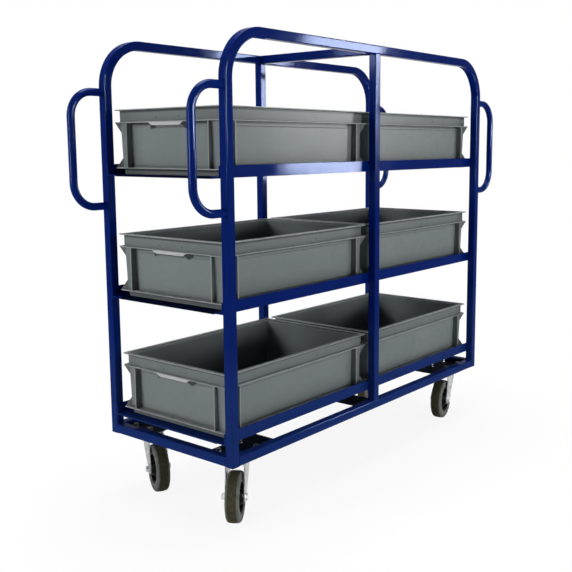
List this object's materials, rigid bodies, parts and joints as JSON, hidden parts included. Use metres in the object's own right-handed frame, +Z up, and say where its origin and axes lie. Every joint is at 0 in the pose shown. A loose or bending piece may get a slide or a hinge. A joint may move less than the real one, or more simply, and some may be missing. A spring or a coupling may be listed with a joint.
{
  "type": "order picking trolley",
  "caption": "Order picking trolley: blue tube frame with hoops and end handles, angle shelves that carry grey stacking containers, on swivel casters.",
  "frame": {"origin": "on the floor under the middle of the trolley", "axes": "+X along the length, with the pictured end at -X; +Y across the width, with the pictured long side at -Y; +Z up"},
  "size_m": [1.481, 0.468, 1.244],
  "materials": {
    "frame_paint": "glossy deep blue powder coat",
    "container_plastic": "satin grey moulded polypropylene",
    "zinc_steel": "bright zinc plating",
    "hub_plastic": "black moulded plastic",
    "tyre_rubber": "grey solid rubber"
  },
  "bodies": {
    "frame": {"post_front_left": "frame_paint", "post_front_middle": "frame_paint", "post_front_right": "frame_paint", "post_back_left": "frame_paint", "post_back_middle": "frame_paint", "post_back_right": "frame_paint", "top_hoop_front": "frame_paint", "top_hoop_back": "frame_paint", "top_cross_bar": "frame_paint", "base_rail_front": "frame_paint", "base_rail_back": "frame_paint", "base_rail_left": "frame_paint", "base_rail_right": "frame_paint", "base_cross_plate": "frame_paint", "caster_mount_plates": "frame_paint", "shelf_rail_lower_front": "frame_paint", "shelf_rail_lower_back": "frame_paint", "shelf_end_bars_lower": "frame_paint", "shelf_rail_middle_front": "frame_paint", "shelf_rail_middle_back": "frame_paint", "shelf_end_bars_middle": "frame_paint", "shelf_rail_upper_front": "frame_paint", "shelf_rail_upper_back": "frame_paint", "shelf_end_bars_upper": "frame_paint", "handle_front_left": "frame_paint", "handle_front_right": "frame_paint", "handle_back_left": "frame_paint", "handle_back_right": "frame_paint", "caster_front_left_top_plate": "zinc_steel", "caster_front_right_top_plate": "zinc_steel", "caster_back_left_top_plate": "zinc_steel", "caster_back_right_top_plate": "zinc_steel", "caster_kingpins": "zinc_steel", "caster_mount_bolts": "zinc_steel"},
    "caster_front_left_swivel": {"caster_front_left_fork": "zinc_steel", "caster_front_left_axle_bolt": "zinc_steel", "caster_front_left_axle_sleeve": "zinc_steel"},
    "caster_front_left_wheel": {"caster_front_left_hub": "hub_plastic", "caster_front_left_tyre": "tyre_rubber"},
    "caster_front_right_swivel": {"caster_front_right_fork": "zinc_steel", "caster_front_right_axle_bolt": "zinc_steel", "caster_front_right_axle_sleeve": "zinc_steel"},
    "caster_front_right_wheel": {"caster_front_right_hub": "hub_plastic", "caster_front_right_tyre": "tyre_rubber"},
    "caster_back_left_swivel": {"caster_back_left_fork": "zinc_steel", "caster_back_left_axle_bolt": "zinc_steel", "caster_back_left_axle_sleeve": "zinc_steel"},
    "caster_back_left_wheel": {"caster_back_left_hub": "hub_plastic", "caster_back_left_tyre": "tyre_rubber"},
    "caster_back_right_swivel": {"caster_back_right_fork": "zinc_steel", "caster_back_right_axle_bolt": "zinc_steel", "caster_back_right_axle_sleeve": "zinc_steel"},
    "caster_back_right_wheel": {"caster_back_right_hub": "hub_plastic", "caster_back_right_tyre": "tyre_rubber"},
    "container_lower_left": {"container_lower_left": "container_plastic"},
    "container_lower_right": {"container_lower_right": "container_plastic"},
    "container_middle_left": {"container_middle_left": "container_plastic"},
    "container_middle_right": {"container_middle_right": "container_plastic"},
    "container_upper_left": {"container_upper_left": "container_plastic"},
    "container_upper_right": {"container_upper_right": "container_plastic"}
  },
  "joints": [
    {"name": "front_left_swivel", "type": "hinge", "parent": "frame", "child": "caster_front_left_swivel", "pos_m": [-0.538, -0.162, 0.156], "axis": [0, 0, 1], "continuous": true},
    {"name": "front_left_wheel_spin", "type": "hinge", "parent": "caster_front_left_swivel", "child": "caster_front_left_wheel", "pos_m": [-0.57124, -0.18425, 0.0665], "axis": [0.5563, -0.831, 0], "continuous": true},
    {"name": "front_right_swivel", "type": "hinge", "parent": "frame", "child": "caster_front_right_swivel", "pos_m": [0.538, -0.162, 0.156], "axis": [0, 0, 1], "continuous": true},
    {"name": "front_right_wheel_spin", "type": "hinge", "parent": "caster_front_right_swivel", "child": "caster_front_right_wheel", "pos_m": [0.49895, -0.17066, 0.0665], "axis": [0.2164, -0.9763, 0], "continuous": true},
    {"name": "back_left_swivel", "type": "hinge", "parent": "frame", "child": "caster_back_left_swivel", "pos_m": [-0.538, 0.162, 0.156], "axis": [0, 0, 1], "continuous": true},
    {"name": "back_left_wheel_spin", "type": "hinge", "parent": "caster_back_left_swivel", "child": "caster_back_left_wheel", "pos_m": [-0.55659, 0.12658, 0.0665], "axis": [0.8854, -0.4648, 0], "continuous": true},
    {"name": "back_right_swivel", "type": "hinge", "parent": "frame", "child": "caster_back_right_swivel", "pos_m": [0.538, 0.162, 0.156], "axis": [0, 0, 1], "continuous": true},
    {"name": "back_right_wheel_spin", "type": "hinge", "parent": "caster_back_right_swivel", "child": "caster_back_right_wheel", "pos_m": [0.49955, 0.15097, 0.0665], "axis": [0.2756, -0.9613, 0], "continuous": true},
    {"name": "container_lower_left_pull", "type": "slide", "parent": "frame", "child": "container_lower_left", "axis": [-1, 0, 0], "range_m": [0, 0.64]},
    {"name": "container_lower_right_pull", "type": "slide", "parent": "frame", "child": "container_lower_right", "axis": [1, 0, 0], "range_m": [0, 0.64]},
    {"name": "container_middle_left_pull", "type": "slide", "parent": "frame", "child": "container_middle_left", "axis": [-1, 0, 0], "range_m": [0, 0.64]},
    {"name": "container_middle_right_pull", "type": "slide", "parent": "frame", "child": "container_middle_right", "axis": [1, 0, 0], "range_m": [0, 0.64]},
    {"name": "container_upper_left_pull", "type": "slide", "parent": "frame", "child": "container_upper_left", "axis": [-1, 0, 0], "range_m": [0, 0.64]},
    {"name": "container_upper_right_pull", "type": "slide", "parent": "frame", "child": "container_upper_right", "axis": [1, 0, 0], "range_m": [0, 0.64]}
  ]
}
